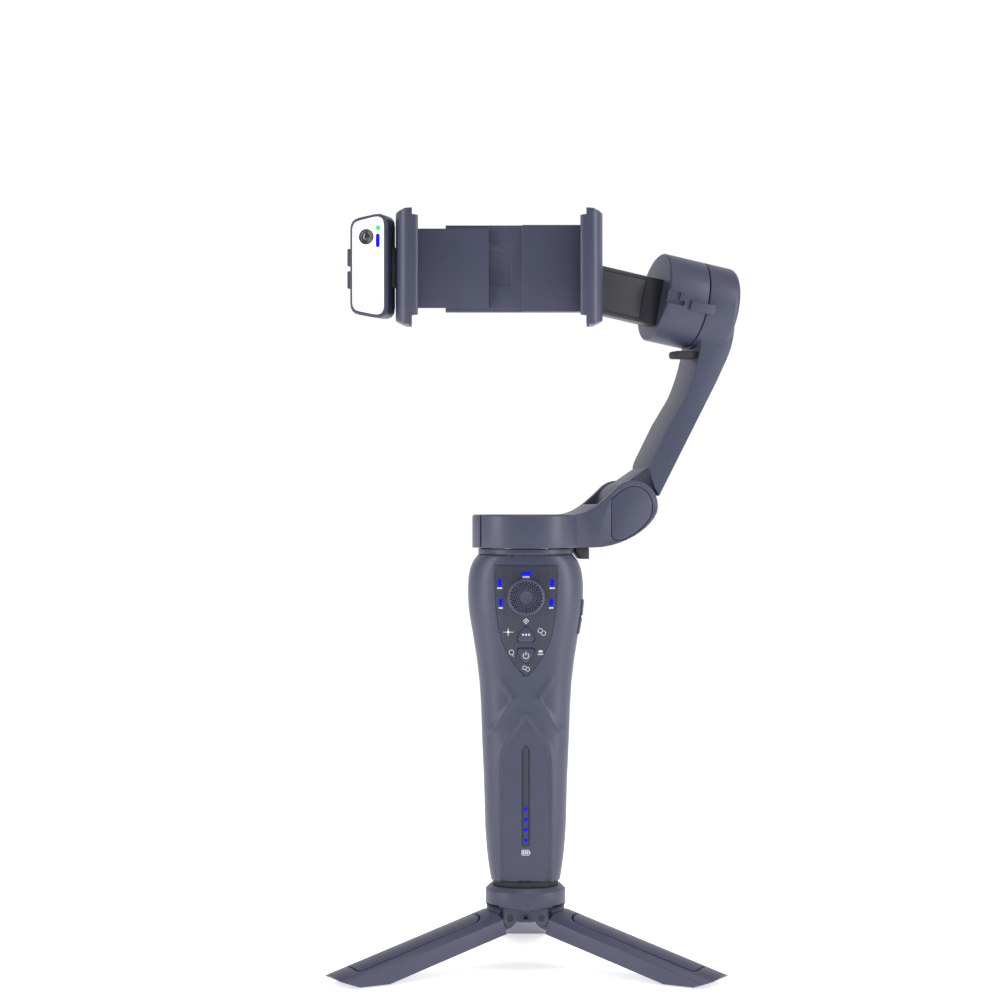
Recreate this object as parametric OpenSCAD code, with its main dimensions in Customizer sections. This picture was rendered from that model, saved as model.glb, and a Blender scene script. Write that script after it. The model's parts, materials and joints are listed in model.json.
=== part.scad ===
// Three-axis phone gimbal on a folding mini tripod, with a clip-on fill light.
// Millimetres. Z is up, the ground is Z = 0, the pan axis is X = Y = 0 and the user stands at -Y.

/* [Grip] */
// Height of the grip's lower end above the ground
grip_bottom = 35.3; // [35:0.1:36]
// Height of the grip's upper end
grip_top = 168.5; // [168:0.1:168.6]
// Thickness of the two grip shells
grip_wall = 2; // [1.6:0.1:2.4]
// Radius of the joystick cap
joystick_r = 7.6; // [6:0.1:8]

/* [Pan arm] */
// Yaw of the arms about the pan axis, in degrees
pan_yaw = 16; // [10:1:20]
// Radius of the round pan housing
ring_r = 21.9; // [21:0.1:23]
// Width of the pan arm and the fold arm
arm_depth = 22.9; // [21:0.1:24]
// Width of the fold arm's tongue
tongue_depth = 17.4; // [15:0.1:18]

/* [Tilt motor] */
// Radius of the tilt motor
motor_r = 18.55; // [18:0.05:19]
// Dip of the tilt axis below horizontal, in degrees
tilt_dip = 11; // [8:0.5:12]
// Length of the turning part of the motor
rotor_len = 17.6; // [16:0.1:18]

/* [Clamp] */
// Width of the phone space between the pads
phone_w = 70.9; // [65:0.1:75]
// Height of the jaws
jaw_h = 46.6; // [44:0.1:48]

/* [Tripod] */
// Radius of the collar, and of the stick that the folded legs make
collar_r = 16.4; // [16:0.1:17]
// Distance from the pan axis to a leg's tip
leg_reach = 89; // [86:1:94]
// Slope of an open leg below horizontal, in degrees
leg_slope = 15.7; // [15:0.1:16]

/* [Hidden] */
$fn = 64;
seat_gap = 0.01;
run_gap = 0.05;

// ---- colours
body_grey = [0.36, 0.37, 0.44];
dark_grey = [0.16, 0.16, 0.19];
steel = [0.7, 0.7, 0.72];
blue = [0.05, 0.1, 1];

// ---- small helpers
function mix(a, b, t) = a + (b - a) * t;
function curve(a, b, c, d, n) = [for (i = [0:n]) let (t = i / n, u = 1 - t)
    u*u*u*a + 3*u*u*t*b + 3*u*t*t*c + t*t*t*d];
function arc(c, r, from, to, n) = [for (i = [0:n]) let (a = mix(from, to, i / n))
    c + r * [cos(a), sin(a)]];
// an outline with rounded corners: pts are [x, y, radius], counter-clockwise
function rounded(pts) = [for (i = [0:len(pts) - 1])
    let (n = len(pts), p = pts[i], q = pts[(i + n - 1) % n], s = pts[(i + 1) % n],
         o = [p.x, p.y], u = ([q.x, q.y] - o) / norm([q.x, q.y] - o),
         v = ([s.x, s.y] - o) / norm([s.x, s.y] - o),
         half = acos(u * v) / 2, d = p[2] / tan(half),
         a = o + u * d, b = o + v * d)
    for (k = [0:4]) let (t = k / 4) (1-t)*(1-t)*a + 2*(1-t)*t*o + t*t*b];
// a cylinder along Y from y0 to y1
module rod_y(r, y0, y1) translate([0, y1, 0]) rotate([90, 0, 0]) cylinder(r = r, h = y1 - y0);
// an X-Z outline made solid from y0 to y1
module slab_y(y0, y1) translate([0, y1, 0]) rotate([90, 0, 0]) linear_extrude(y1 - y0) children();
module ring(r_out, r_in, h) difference() {
    cylinder(r = r_out, h = h);
    translate([0, 0, -1]) cylinder(r = r_in, h = h + 2);
}

// ---- the grip: superellipse sections between a few levels
// [height, half-width, depth to the front, depth to the back]
grip_levels = [[grip_bottom, 14.2, 12.8, 13.2], [38, 14.7, 13.3, 13.8], [42, 15.3, 13.8, 14.4],
    [47, 15.9, 14.3, 15], [56, 16.6, 14.8, 15.6], [76, 17.1, 15.2, 16.2], [91, 17.8, 15.6, 17],
    [106, 18.3, 16, 17.8], [116, 18.9, 16.4, 18.2], [126, 20.1, 17.2, 18.6], [136, 21.7, 18.2, 19.4],
    [144, 23.1, 19, 20.4], [151, 23.7, 19.4, 21], [158, 23.6, 19.4, 21], [163, 22.8, 19.2, 20.6],
    [166, 21.4, 19, 19.8], [grip_top, 19.4, 18.6, 18.9]];
grip_power = 2.6;
half_steps = 20;
parting = 0.05;
function bend(t) = sign(t) * pow(abs(t), 2 / grip_power);
// half of a section: side -1 is the front, 1 is the back; grow moves it outward
function half_section(level, side, grow) = [for (i = [0:half_steps]) let (a = 180 * i / half_steps)
    [(level[1] + grow) * bend(cos(a)),
     side * (parting + ((side < 0 ? level[2] : level[3]) + grow) * bend(sin(a))), level[0]]];
function shell_section(level, side, grow, wall) = concat(half_section(level, side, grow),
    [for (i = [half_steps:-1:0]) half_section(level, side, grow - wall)[i]]);
// depth of the front surface at a place on it
function front_depth(x, z) =
    lookup(z, [for (l = grip_levels) [l[0], l[2]]])
    * pow(1 - pow(abs(x) / lookup(z, [for (l = grip_levels) [l[0], l[1]]]), grip_power), 1 / grip_power);
function back_depth(x, z) =
    lookup(z, [for (l = grip_levels) [l[0], l[3]]])
    * pow(1 - pow(abs(x) / lookup(z, [for (l = grip_levels) [l[0], l[1]]]), grip_power), 1 / grip_power);

module grip_half(side, grow = 0, wall = grip_wall) {
    rings = [for (l = grip_levels) shell_section(l, side, grow, wall)];
    n = len(rings[0]);
    m = len(rings);
    walls = [for (k = [0:m - 2], i = [0:n - 1]) let (j = (i + 1) % n, a = k*n + i, b = k*n + j)
        each [[a, b, b + n], [a, b + n, a + n]]];
    top = (m - 1)*n;
    caps = [for (o = [0:half_steps - 1]) let (p = o + 1, q = n - 2 - o, r = n - 1 - o)
        each [[q, p, o], [r, q, o], [top + o, top + p, top + q], [top + o, top + q, top + r]]];
    faces = concat(walls, caps);
    flip = [for (f = faces) [for (i = [len(f) - 1:-1:0]) f[i]]];
    polyhedron([for (r = rings, p = r) p], side > 0 ? flip : faces, convexity = 6);
}

// ---- places on the grip
joystick_z = 151.7;
mode_z = 136.6;
power_z = 127.8;
rocker_z = 143;
rocker_y = -4.6;
port_z = 136.2;
port_y = 4;
panel_gap = 0.12;
panel_proud = 0.3;
led_spots = [[0, 161.3, 3.9, 1.3], [-10.6, 157.4, 1.5, 2.8], [10.6, 157.4, 1.5, 2.8],
    [-10.2, 149.5, 1.5, 2.8], [10.2, 149.5, 1.5, 2.8]];
strip_w = 3.4;
strip_back = -13.4;
strip_z = [50.3, 89.2, 91.8];
battery_led_z = [52.7, 57, 61.1, 65.4];
screw_spots = [[-8, 60], [8, 60], [-10, 150], [10, 150]];

module panel_outline(grow = 0) {
    right = curve([12.4, 152], [11.8, 138], [9.6, 128], [0, 119.3], 10);
    half = concat([[12.9, 164.4]], right);
    offset(delta = grow)
        polygon(concat(half, [for (i = [len(half) - 2:-1:0]) [-half[i].x, half[i].y]]));
}
module button_outline(up, grow = 0) {
    w = 4.3 + grow * 1.6;
    h = 3.1 + grow;
    pts = up ? [[-w, -h, 1.6], [w, -h, 1.6], [0, h + 1.4, 1.9]] : [[0, -h - 1.4, 1.9], [w, h, 1.6], [-w, h, 1.6]];
    polygon(rounded(pts));
}
module button_prism(up, z, y0, y1, grow = 0) translate([0, 0, z]) slab_y(y0, y1) button_outline(up, grow);
module strip_outline() polygon([[-strip_w/2, strip_z[0]], [strip_w/2, strip_z[0]],
    [strip_w/2, strip_z[1]], [0, strip_z[2]], [-strip_w/2, strip_z[1]]]);
module rocker_box(grow = 0) translate([19.4 - 4*grow, rocker_y - 2.6 - grow, rocker_z - 6.9 - grow])
    cube([9, 5.2 + 2*grow, 13.8 + 2*grow]);
rocker_pin_r = 0.6;
module rocker_axis() translate([21.4, rocker_y, rocker_z]) rotate([90, 0, 0]) children();
module port_box(grow, x0, x1) translate([x0, port_y - 1.65 - grow, port_z - 4.5 - grow])
    cube([x1 - x0, 3.3 + 2*grow, 9 + 2*grow]);

module grip_front() color(body_grey) difference() {
    grip_half(-1);
    slab_y(-30, -8) panel_outline(panel_gap);
    rocker_box(0.3);
    slab_y(-30, strip_back) strip_outline();
    rocker_axis() cylinder(r = rocker_pin_r + run_gap, h = 8, center = true);
}
module grip_back() color(body_grey) difference() {
    grip_half(1);
    for (s = screw_spots) translate([s[0], 0, s[1]]) rod_y(1.75, 8, 25);
    port_box(0.05, -26, -17);
}
module control_panel() color([0.25, 0.26, 0.3]) difference() {
    intersection() {
        grip_half(-1, panel_proud, 2.4);
        slab_y(-30, -8) panel_outline();
    }
    translate([0, 0, joystick_z]) rod_y(5.4, -30, -8);
    button_prism(true, mode_z, -30, -8, 0.2);
    button_prism(false, power_z, -30, -8, 0.2);
    for (s = led_spots) led_box(s);
}
module led_box(s) {
    inner = max(0, abs(s[0]) - s[2]/2);
    depth = max(front_depth(inner, s[1] - s[3]/2), front_depth(inner, s[1] + s[3]/2));
    translate([s[0] - s[2]/2, -depth - panel_proud - 0.08, s[1] - s[3]/2]) cube([s[2], 1.6, s[3]]);
}
module mode_leds() color(blue) for (s = led_spots) led_box(s);
module battery_strip() color(dark_grey) difference() {
    slab_y(-14.5, strip_back) strip_outline();
    for (z = battery_led_z) translate([0, 0, z]) rod_y(0.85, -20, -10);
}
module battery_leds() color(blue) for (z = battery_led_z) translate([0, 0, z]) rod_y(0.85, -14.7, strip_back);
module grip_screws() color(steel) for (s = screw_spots) translate([s[0], 0, s[1]]) {
    depth = back_depth(abs(s[0]), s[1]);
    difference() {
        rod_y(1.6, depth - 3, depth - 0.7);
        translate([-0.3, depth - 1.3, -1.1]) cube([0.6, 2, 2.2]);
        translate([-1.1, depth - 1.3, -0.3]) cube([2.2, 2, 0.6]);
    }
}
module battery() color([0.15, 0.35, 0.3]) translate([0, 2.6, 49]) cylinder(r = 9.1, h = 65);
module main_board() color([0.05, 0.3, 0.12]) {
    translate([-9, -9.6, 62]) cube([18, 1.2, 94]);
    translate([-5, -8.4, 118]) cube([10, 1.4, 10]);
    translate([-6, -8.4, 140]) cube([7, 1.2, 7]);
}
module joystick_module() color(dark_grey) difference() {
    translate([-7, -16.4, joystick_z - 7]) cube([14, 6.8, 13.2]);
    translate([0, 0, joystick_z]) rod_y(5.4, -20, -11);
    translate([0, stick_pivot_y, joystick_z]) rotate([0, 90, 0]) cylinder(r = 0.8 + run_gap, h = 20, center = true);
}
module charge_port() color(steel) difference() {
    port_box(0, -21.1, -14.5);
    port_box(-0.5, -24, -15.2);
}
module grip_end_plug() color(dark_grey) difference() {
    translate([0, 0, grip_bottom]) intersection() {
        cylinder(r = 11.9, h = 4.7);
        translate([-20, -10.6, 0]) cube([40, 21.2, 10]);
    }
    translate([0, 0, 30]) cylinder(r = 4.8, h = 12);
}
module threaded_insert() color([0.75, 0.6, 0.3]) translate([0, 0, grip_bottom]) ring(4.8, 3.25, 10);

// ---- pan motor, fixed part
neck_r = 19.4;
pan_seam = 171.3;
module pan_motor_housing() color(body_grey) difference() {
    union() {
        translate([0, 0, grip_top + seat_gap]) cylinder(r = neck_r, h = 2.4);
        translate([0, 0, 158]) cylinder(r = 16, h = 11);
    }
    translate([0, 0, 160]) cylinder(r = 14.5, h = 20);
}
module pan_stator() color([0.6, 0.35, 0.2]) translate([0, 0, 160]) difference() {
    cylinder(r = 11, h = 8);
    translate([0, 0, -1]) cylinder(r = 4, h = 10);
    for (a = [0:30:330]) rotate(a) translate([10.5, 0, 1.5]) cylinder(r = 1.4, h = 8);
}
module pan_bearing() color(steel) translate([0, 0, 160]) ring(4, 2 + run_gap, 6);

// ---- tripod
pivot_r = 11.6;
pivot_z = 20.7;
stick_flat = 6.9;
leg_half = 10;
root_x = 4.6;
root_half = 5;
root_r = 4.7;
pin_r = 1.5;
leg_azimuths = [210, -30, 90];
hub_bottom = 18.4;

module tripod_hub() color(body_grey) difference() {
    union() {
        rotate_extrude() polygon([[3.4, hub_bottom], [8.7, hub_bottom], [9.1, 18.8], [9.1, 19.7],
            [7.8, 20.3], [9.4, 22], [11.8, 24.4], [12.6, 24.8], [15.9, 24.8], [collar_r, 25.3],
            [collar_r, 31.2], [14.6, 33], [3.4, 33]]);
        for (a = leg_azimuths) rotate(a) {
            translate([pivot_r, 0, pivot_z]) rod_y(3.2, -7.3, 7.3);
            translate([5, -7.3, pivot_z - 1.5]) cube([9.2, 14.6, 6]);
        }
    }
    for (a = leg_azimuths) rotate(a) {
        translate([6.4, -root_half - 0.25, 14]) cube([20, 2*root_half + 0.5, 11.8]);
        translate([pivot_r, 0, pivot_z]) rod_y(pin_r, -20, 20);
    }
    translate([0, 0, 10]) cylinder(r = 3.4, h = 30);
}
module hub_pad() color(dark_grey) translate([0, 0, 33]) ring(13.4, 3.4, grip_bottom - 33);
module tripod_screw() color(steel) difference() {
    union() {
        translate([0, 0, 20]) cylinder(r = 3.2, h = 24);
        translate([0, 0, 18.8]) cylinder(r = 3.35, h = 3);
    }
    translate([-0.5, -5, 17.8]) cube([1, 10, 2.2]);
}
module leg_pins() color(steel) for (a = leg_azimuths) rotate(a)
    translate([pivot_r, 0, pivot_z]) rod_y(pin_r, -7.2, 7.2);

// a leg along +X from its pivot at the origin, level; the stick's axis lies pivot_r below the pivot
groove_floor = sqrt(collar_r*collar_r - 6.4*6.4) - 0.5;
module leg_stadium(grow = 0) linear_extrude(40) polygon(rounded([
    [11 - grow, -6 - grow, 5 + grow], [70 + grow, -6 - grow, 2.5 + grow],
    [70 + grow, 6 + grow, 2.5 + grow], [11 - grow, 6 + grow, 5 + grow]]));
module stick_cylinder(r) translate([-20, 0, -pivot_r]) rotate([0, 90, 0]) cylinder(r = r, h = 140, $fn = 96);
module level_leg() {
    difference() {
        union() {
            intersection() {
                stick_cylinder(collar_r);
                translate([root_x, -leg_half, stick_flat - pivot_r]) cube([100, 2*leg_half, 20]);
            }
            rod_y(root_r, -root_half, root_half);
            translate([0, -root_half, -root_r]) cube([root_x + 1, 2*root_half, root_r + 3.4]);
        }
        rod_y(pin_r + run_gap, -20, 20);
        translate([0, 0, groove_floor - pivot_r]) difference() {
            leg_stadium(0.4);
            translate([0, 0, -1]) leg_stadium(-0.4);
        }
    }
}
module leg(azimuth) color(body_grey) rotate(azimuth) intersection() {
    translate([pivot_r, 0, pivot_z]) rotate([0, leg_slope, 0]) level_leg();
    slab_y(-20, 20) polygon([[0, 60], [0, 0], [81, 0], [leg_reach - 1, 2.4], [leg_reach, 3.4],
        [leg_reach, 60]]);
}
module left_leg() leg(leg_azimuths[0]);
module right_leg() leg(leg_azimuths[1]);
module rear_leg() leg(leg_azimuths[2]);

// ---- controls that move
stick_pivot_y = -14;
stick_pin_r = 0.6;
module joystick_cross() color(steel) translate([0, 0, joystick_z]) difference() {
    union() {
        rod_y(4.4, stick_pivot_y - 1, stick_pivot_y + 1);
        translate([0, stick_pivot_y, 0]) rotate([0, 90, 0]) cylinder(r = 0.8, h = 12, center = true);
    }
    rod_y(2.7, -20, -10);
    translate([0, stick_pivot_y, 0]) cylinder(r = stick_pin_r + run_gap, h = 12, center = true);
}
module joystick_cap() color(body_grey) translate([0, 0, joystick_z]) {
    rod_y(2, -22, -12.4);
    translate([0, stick_pivot_y, 0]) cylinder(r = stick_pin_r, h = 8, center = true);
    rotate([90, 0, 0]) rotate_extrude() polygon(concat([[0, 21.7], [6.6, 21.7], [7.3, 22.2]],
        [[joystick_r, 23.2], [joystick_r - 0.2, 24.2], [joystick_r - 0.8, 24.8]],
        curve([6, 25.1], [4.5, 25.3], [3, 24.9], [0, 24.7], 6)));
}
module mode_button() color(body_grey) button_prism(true, mode_z, -19.5, -12.5);
module power_button() color(body_grey) button_prism(false, power_z, -18.7, -12.5);
module zoom_rocker() color(body_grey) difference() {
    union() {
        intersection() {
            grip_half(-1, 0.6, 3.6);
            rocker_box();
        }
        rocker_axis() cylinder(r = rocker_pin_r, h = 6.8, center = true);
    }
    translate([22.2, rocker_y - 4, rocker_z - 0.5]) cube([5, 8, 1]);
}

// ---- pan arm, in its own yawed frame
hinge = [43.2, 188.4];
ear_r = 10.5;
ring_h = 13.5;
ring_seam = 197;
gap_half = tongue_depth/2 + 0.2;
module yawed() rotate(pan_yaw) children();
module arm_outline() {
    top = curve([16.5, pan_seam + ring_h], [24, pan_seam + ring_h], [29, 189.5], [36.6, 196.6], 10);
    under = curve([26, pan_seam], [38, pan_seam], [50.5, 178.6], [53.3, 185.7], 10);
    polygon(concat([[0, pan_seam]], under, arc(hinge, ear_r, -8, 120, 14),
        [for (i = [10:-1:0]) top[i]], [[0, pan_seam + ring_h]]));
}
module cover_outline(grow = 0) {
    polygon(concat(
        [[34.3 - grow, 174.9 - grow], [36.5, 174.1 - grow]],
        curve([39.5, 174.9 - grow], [45, 177.3 - grow], [50.6 + grow, 182.2 - grow], [51 + grow, 186], 6),
        arc(hinge, ear_r - 2.6 + grow, 0, 128, 14),
        [[33.6 - grow, 191.2 + grow], [33.6 - grow, 176.2 - grow]]));
}
module pan_arm_frame() color(body_grey) yawed() difference() {
    union() {
        translate([0, 0, pan_seam]) cylinder(r = ring_r, h = ring_h - 0.6, $fn = 96);
        translate([0, 0, pan_seam + ring_h - 0.6]) cylinder(r1 = ring_r, r2 = ring_r - 0.6, h = 0.6, $fn = 96);
        slab_y(-arm_depth/2, arm_depth/2) arm_outline();
    }
    translate([28, -gap_half, 150]) cube([40, 2*gap_half, 80]);
    translate([0, 0, pan_seam + 2.5]) cylinder(r = 17, h = ring_h - 5);
    translate([hinge.x, 0, hinge.y]) rod_y(2.5, -20, 20);
    rotate(ring_seam) translate([ring_r - 0.8, -0.6, pan_seam - 1]) cube([3, 1.2, ring_h + 2]);
    for (s = [-1, 1]) slab_y(s > 0 ? arm_depth/2 - 0.8 : -arm_depth/2 - 1,
        s > 0 ? arm_depth/2 + 1 : -arm_depth/2 + 0.8) cover_outline(0.25);
}
module pan_rotor() color(steel) yawed() {
    translate([0, 0, 168.8]) cylinder(r = 14, h = pan_seam - 168.8);
    translate([0, 0, 160.4]) cylinder(r = 2, h = 9);
}
module pan_stop_tab() color(dark_grey) yawed() slab_y(-3.2, 3.2)
    polygon([[20.6, pan_seam], [26.6, pan_seam], [26.6, 166.4], [23.2, 166.4], [20.6, 169.6]]);
module front_hinge_cover() color([0.33, 0.35, 0.4]) yawed()
    slab_y(-arm_depth/2 - 0.1, -arm_depth/2 + 0.7) cover_outline();
module rear_hinge_cover() color([0.33, 0.35, 0.4]) yawed()
    slab_y(arm_depth/2 - 0.7, arm_depth/2 + 0.1) cover_outline();
module hinge_pin() color(steel) yawed() translate([hinge.x, 0, hinge.y])
    rod_y(2.5, -arm_depth/2 + 0.8, arm_depth/2 - 0.8);

// ---- tilt frame: z runs along the axis away from the phone, x points down, y to the back
rotor_face = [56, 275.7];
head_start = rotor_len + 0.4;
head_end = 32.1;
module tilted() yawed() translate([rotor_face.x, 0, rotor_face.y]) rotate([0, 90 + tilt_dip, 0]) children();

module beam_outline() polygon(concat(
    arc(hinge, 11.8, 39, 20, 4),
    [[79.6, 240]], curve([82, 245], [84.5, 250], [86, 253], [87, 258], 4),
    [[88, 264.5], [88.6, 271], [88.5, 276], [80, 276], [74, 266], [72.2, 252]],
    curve([70.8, 246], [69, 240], [67, 235], [65.7, 232.8], 4),
    [[59.1, 222.3], [51.4, 207.4], [50.5, 205]],
    [[50.5, 202]]));
module tongue_outline() {
    translate(hinge) circle(r = 10.1);
    polygon([[37.5, 195.8], [50.5, 204.4], [56, 205], [58, 199.5], [52, 190]]);
}
module fold_arm_beam() color(body_grey) difference() {
    union() {
        yawed() slab_y(-arm_depth/2, arm_depth/2) beam_outline();
        yawed() slab_y(-tongue_depth/2, tongue_depth/2) tongue_outline();
        tilted() rotate_extrude($fn = 96) polygon(concat([[0, head_start], [motor_r - 0.3, head_start],
            [motor_r, head_start + 0.3]], arc([motor_r - 2.6, head_end - 2.6], 2.6, 0, 90, 8),
            [[0, head_end]]));
    }
    tilted() translate([0, 0, head_start - 1]) cylinder(r = 15.6, h = 10.6);
    tilted() translate([0, 0, head_end - 1.2]) cylinder(r = 13.2, h = 5);
    yawed() translate([hinge.x, 0, hinge.y]) rod_y(2.5 + run_gap, -20, 20);
}
module tilt_end_cap() color([0.33, 0.35, 0.4]) tilted() translate([0, 0, head_end - 1.2])
    cylinder(r = 13.1, h = 1.1);
module tilt_stator() color([0.6, 0.35, 0.2]) tilted() translate([0, 0, 7]) difference() {
    cylinder(r = 11.8, h = head_start + 9.6 - 7);
    translate([0, 0, -1]) cylinder(r = 4, h = 40);
    for (a = [0:30:330]) rotate(a) translate([11.3, 0, -1]) cylinder(r = 1.4, h = 12);
}
module tilt_bearing() color(steel) tilted() translate([0, 0, 8]) ring(4, 2 + run_gap, 14);
module tilt_stop_tab() color(body_grey) tilted() intersection() {
    translate([0, 0, 10]) ring(motor_r + 1.1, motor_r + 0.2, head_start - 10 + 3);
    rotate(8) translate([-2, -30, 0]) cube([4.2, 30, 40]);
}
module stop_bumper() color(dark_grey) yawed() slab_y(-9.5, -1.5)
    polygon([[62, 250.2], [62.8, 249.6], [71.6, 249.6], [72, 252.8], [62.8, 252.8], [62, 252.2]]);

// ---- tilt body
module tilt_rotor_housing() color(body_grey) tilted() difference() {
    rotate_extrude($fn = 96) polygon([[0, 0], [motor_r - 0.6, 0], [motor_r, 0.6],
        [motor_r, rotor_len - 0.3], [motor_r - 0.3, rotor_len], [0, rotor_len]]);
    translate([0, 0, 2.5]) cylinder(r = 16, h = 30);
    rotate(3) translate([-2.7, -motor_r - 1, -1]) cube([5.4, 2.2, 6.2]);
    rotate(3) translate([0.6, -motor_r - 1, 5]) cube([2.1, 2.2, 2.4]);
}
module tilt_magnet_ring() color(steel) tilted() translate([0, 0, 6]) ring(16, 12.4, 11);
module tilt_shaft() color(steel) tilted() translate([0, 0, 2.5]) cylinder(r = 2, h = 18);

bar_drop = 3.3;
bar_h = 19.4;
bar_front = -9;
bar_back = -1.4;
roll_x = -10.85;
roll_z = 284.2;
can_r = 14;
can_front = -12.6;
can_back = 3;
module roll_frame() translate([roll_x, 0, roll_z]) children();
module roll_arm() color([0.2, 0.2, 0.22]) difference() {
    union() {
        tilted() difference() {
            translate([bar_drop - bar_h/2, bar_front, -60]) cube([bar_h, bar_back - bar_front, 60]);
            translate([bar_drop - bar_h/2 + 1.6, bar_front - 1, -60]) cube([bar_h - 3.2, 1.6, 52.5]);
        }
        tilted() translate([bar_drop - bar_h/2 + 0.8, bar_back - 1, -8]) cube([bar_h - 1.6, 7, 8]);
        roll_frame() rod_y(can_r, can_front, can_back);
    }
    roll_frame() rod_y(12.4, can_front - 1, -2.5);
    roll_frame() rod_y(12.4, 1, can_back + 1);
}
module roll_arm_cover() color([0.16, 0.16, 0.18]) difference() {
    tilted() translate([bar_drop - bar_h/2 + 1.7, bar_front + 0.1, -60]) cube([bar_h - 3.4, 0.5, 52.4]);
    roll_frame() rod_y(can_r, -30, 10);
}
module roll_back_cap() color(body_grey) roll_frame() rod_y(12.3, 1, can_back + 0.4);
module roll_stator() color([0.6, 0.35, 0.2]) roll_frame() difference() {
    rod_y(9.6, -10.2, -2.5);
    rod_y(4, -20, 0);
    for (a = [0:30:330]) rotate([0, a, 0]) translate([9.2, 0, 0]) rod_y(1.2, -20, -4);
}
module roll_bearing() color(steel) roll_frame() difference() {
    rod_y(4, -10.2, -3);
    rod_y(2 + run_gap, -20, 0);
}

// ---- phone clamp
clamp_z = 284.3;
right_x = roll_x + phone_w/2;
left_x = roll_x - phone_w/2;
plate_back = -13.5;
phone_back = -20;
phone_front = -28.3;
rod_r = 1.25;
rod_y_pos = -15.75;
rod_dz = 12;
wall_t = 0.8;
module roll_rotor() color(steel) roll_frame() {
    rod_y(12, plate_back, -10.6);
    rod_y(2, plate_back, -4);
}
module clamp_plate() color(body_grey) difference() {
    union() {
        translate([-32.5, -18, clamp_z - 17.5]) cube([right_x + 32.5, 4.5, 35]);
        translate([-1.5, phone_back, clamp_z - 17.5]) cube([right_x + 1.5, 3, 35]);
    }
    for (s = [-1, 1]) translate([-40, rod_y_pos, clamp_z + s*rod_dz]) rotate([0, 90, 0])
        cylinder(r = rod_r + run_gap, h = 60);
    translate([-30, -18.6, clamp_z - 7]) cube([24, 1.2, 14]);
}
// a jaw seen from above, for the right side, with its inner wall at x = 0
module jaw_plan() polygon(concat(
    [[0, plate_back], [0, phone_back], [wall_t, phone_back], [wall_t, phone_front], [-3, phone_front - 0.3]],
    curve([-3, phone_front - 1.3], [-2.8, phone_front - 2.3], [1, phone_front - 2.6], [2.4, phone_front - 2], 6),
    curve([3.6, phone_front - 1.2], [5.4, phone_front], [6.2, -25], [6.2, -21.5], 6),
    [[6.2, -17], [5, plate_back - 0.6], [4, plate_back]]));
module jaw_face() {
    half = jaw_h/2;
    polygon([[-4, -half + 4], [-0.6, -half + 3.6], [-0.6, -half], [0, -half], [2.4, -half + 0.2], [6.3, -half + 2],
        [6.3, half - 2], [2.4, half - 0.2], [0, half], [-0.6, half], [-0.6, half - 2.6], [-4, half - 3]]);
}
module jaw() intersection() {
    linear_extrude(400) jaw_plan();
    translate([0, 0, clamp_z]) slab_y(-40, 0) jaw_face();
}
module pad() translate([0, phone_front + 0.2, clamp_z - jaw_h/2 + 2.5])
    cube([wall_t, phone_back - phone_front - 0.4, jaw_h - 5]);
module right_jaw() color(body_grey) translate([right_x, 0, 0]) jaw();
module right_pad() color(dark_grey) translate([right_x, 0, 0]) pad();
module left_jaw() color(body_grey) difference() {
    union() {
        translate([left_x, 0, 0]) mirror([1, 0, 0]) jaw();
        translate([left_x - 0.5, phone_back, clamp_z - 16]) cube([31.8, 1.85, 32]);
    }
    for (s = [-1, 1]) translate([-50.5, rod_y_pos, clamp_z + s*rod_dz]) rotate([0, 90, 0])
        cylinder(r = rod_r, h = 20);
}
module left_pad() color(dark_grey) translate([left_x, 0, 0]) mirror([1, 0, 0]) pad();
module guide_rods() color(steel) for (s = [-1, 1]) translate([-50.5, rod_y_pos, clamp_z + s*rod_dz])
    rotate([0, 90, 0]) cylinder(r = rod_r, h = 53);

// ---- fill light, turned to its left; x across, y to the back, z up from its centre
light_yaw = -17;
light_depth = 11.4;
module lit() translate([-63.3, -27, 284.6]) rotate(light_yaw) children();
module light_outline(grow, r) {
    polygon(rounded([[-6.7 - grow, -17.6 - grow, r], [6.7 + grow, -20.4 - grow, r],
        [6.7 + grow, 20.4 + grow, r], [-6.7 - grow, 17.6 + grow, r]]));
}
light_button_z = [3.8, -5.2];
light_button_left = -9.9;
module light_button(z) translate([light_button_left, 2.4, z - 3.5]) cube([3.9, 3, 7]);
module light_button_pocket(z) translate([light_button_left - 2, 2.3, z - 3.6]) cube([6.7, 3.2, 7.2]);
lens_at = [-0.7, 11.6];
led_at = [4.3, 15];
bar_at = [4.2, 10];
module light_housing() color(body_grey) lit() difference() {
    union() {
        slab_y(0.6, light_depth - 1.2) light_outline(1.2, 4.6);
        slab_y(0, light_depth) light_outline(0.6, 4);
    }
    slab_y(-1, 1.2) light_outline(0, 3.6);
    for (z = light_button_z) light_button_pocket(z);
}
module light_face() lit() {
    color([0.95, 1, 1]) difference() {
        slab_y(-0.3, 1.2) light_outline(-0.1, 3.5);
        translate([lens_at.x, 0, lens_at.y]) rod_y(3, -1, 0.2);
    }
    color([0.02, 0.02, 0.03]) translate([lens_at.x, 0, lens_at.y]) rod_y(3, -0.2, 0.2);
}
module light_bracket() color(dark_grey) difference() {
    translate([-57, -23.5, clamp_z - 8]) cube([57 + left_x - 6.2, 5.5, 16]);
    lit() slab_y(0.6, light_depth - 1.2) light_outline(1.2, 4.6);
    lit() slab_y(0, light_depth) light_outline(0.6, 4);
}
module light_button_upper() color(dark_grey) lit() light_button(light_button_z[0]);
module light_button_lower() color(dark_grey) lit() light_button(light_button_z[1]);

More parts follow.
